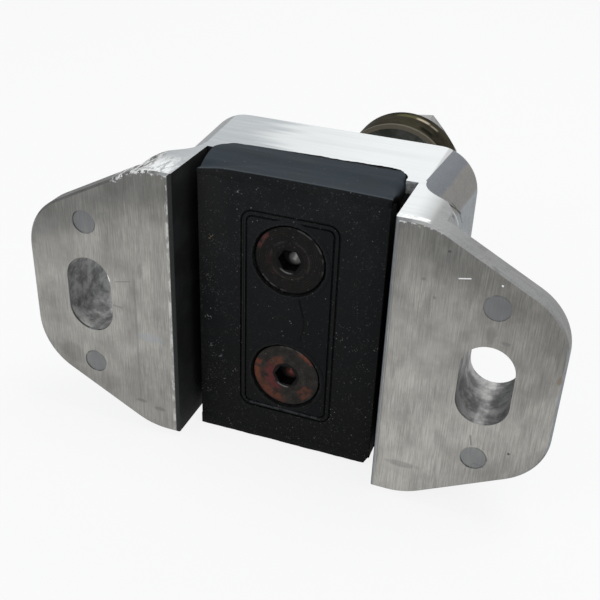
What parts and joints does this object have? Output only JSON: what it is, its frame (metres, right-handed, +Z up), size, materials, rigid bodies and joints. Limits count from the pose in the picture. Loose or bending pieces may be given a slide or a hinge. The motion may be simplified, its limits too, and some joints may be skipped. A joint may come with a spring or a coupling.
{
  "type": "engine mount",
  "caption": "Engine mount: cast aluminium channel housing with two slotted ears, bonded rubber block, screwed front plate and a rear stud with cup washer and nut",
  "frame": {"origin": "centre of the pair of slots, on the mounting plane of the two ears", "axes": "X across the ears, Y from the mounting plane towards the stud's end, Z up along the slots, as it stands on its lower machined end"},
  "size_m": [0.1536, 0.159, 0.085],
  "materials": {
    "cast_aluminium": "cast, ends and mounting faces linished",
    "black_rubber": "satin moulded rubber",
    "core_steel": "sawn steel",
    "black_plate": "black coated steel, dusty",
    "dark_screw": "black oxide, worn, a little rust",
    "rusty_screw": "rusted black oxide",
    "stud_steel": "plain steel",
    "olive_zinc": "olive passivated zinc",
    "nut_zinc": "zinc plate"
  },
  "bodies": {
    "root": {"housing": "cast_aluminium", "rubber_block": "black_rubber", "core_block": "core_steel", "front_plate": "black_plate", "screw_upper": "dark_screw", "screw_lower": "rusty_screw", "stud": "stud_steel", "cup_washer": "olive_zinc", "rear_nut": "nut_zinc"}
  },
  "joints": []
}
